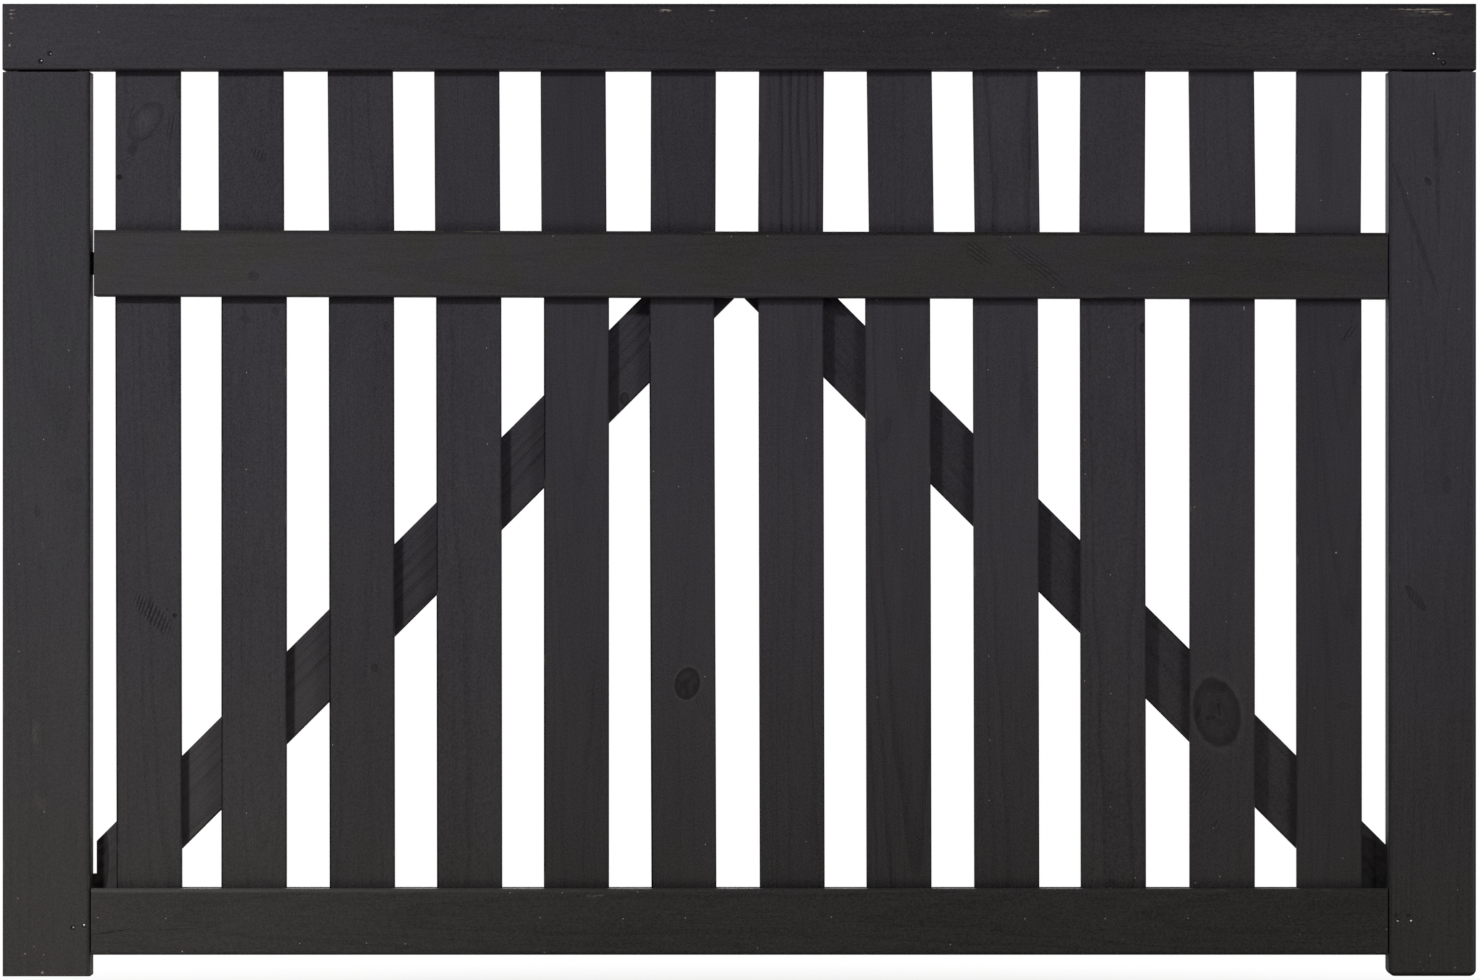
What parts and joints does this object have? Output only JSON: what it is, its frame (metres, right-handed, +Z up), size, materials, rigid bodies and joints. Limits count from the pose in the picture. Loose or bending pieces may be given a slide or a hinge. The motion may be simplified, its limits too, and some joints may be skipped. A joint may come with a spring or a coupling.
{
  "type": "single garden gate leaf",
  "caption": "Low timber garden gate leaf: mortised frame with a middle rail, upright slats housed in the rails and a pair of braces behind the lower slats.",
  "frame": {"origin": "middle of the left stile's outer edge face, the face that carries the hinges", "axes": "+X across the gate towards the right stile, +Z up, front of the gate towards -Y"},
  "size_m": [1.515, 0.045, 1],
  "materials": {
    "black_stained_pine": "planed softwood with a near-black charcoal stain, satin"
  },
  "bodies": {
    "root": {"left_stile": "black_stained_pine", "right_stile": "black_stained_pine", "top_rail": "black_stained_pine", "middle_rail": "black_stained_pine", "bottom_rail": "black_stained_pine", "left_brace": "black_stained_pine", "right_brace": "black_stained_pine", "upper_slat_01": "black_stained_pine", "upper_slat_02": "black_stained_pine", "upper_slat_03": "black_stained_pine", "upper_slat_04": "black_stained_pine", "upper_slat_05": "black_stained_pine", "upper_slat_06": "black_stained_pine", "upper_slat_07": "black_stained_pine", "upper_slat_08": "black_stained_pine", "upper_slat_09": "black_stained_pine", "upper_slat_10": "black_stained_pine", "upper_slat_11": "black_stained_pine", "upper_slat_12": "black_stained_pine", "lower_slat_01": "black_stained_pine", "lower_slat_02": "black_stained_pine", "lower_slat_03": "black_stained_pine", "lower_slat_04": "black_stained_pine", "lower_slat_05": "black_stained_pine", "lower_slat_06": "black_stained_pine", "lower_slat_07": "black_stained_pine", "lower_slat_08": "black_stained_pine", "lower_slat_09": "black_stained_pine", "lower_slat_10": "black_stained_pine", "lower_slat_11": "black_stained_pine", "lower_slat_12": "black_stained_pine"}
  },
  "joints": []
}
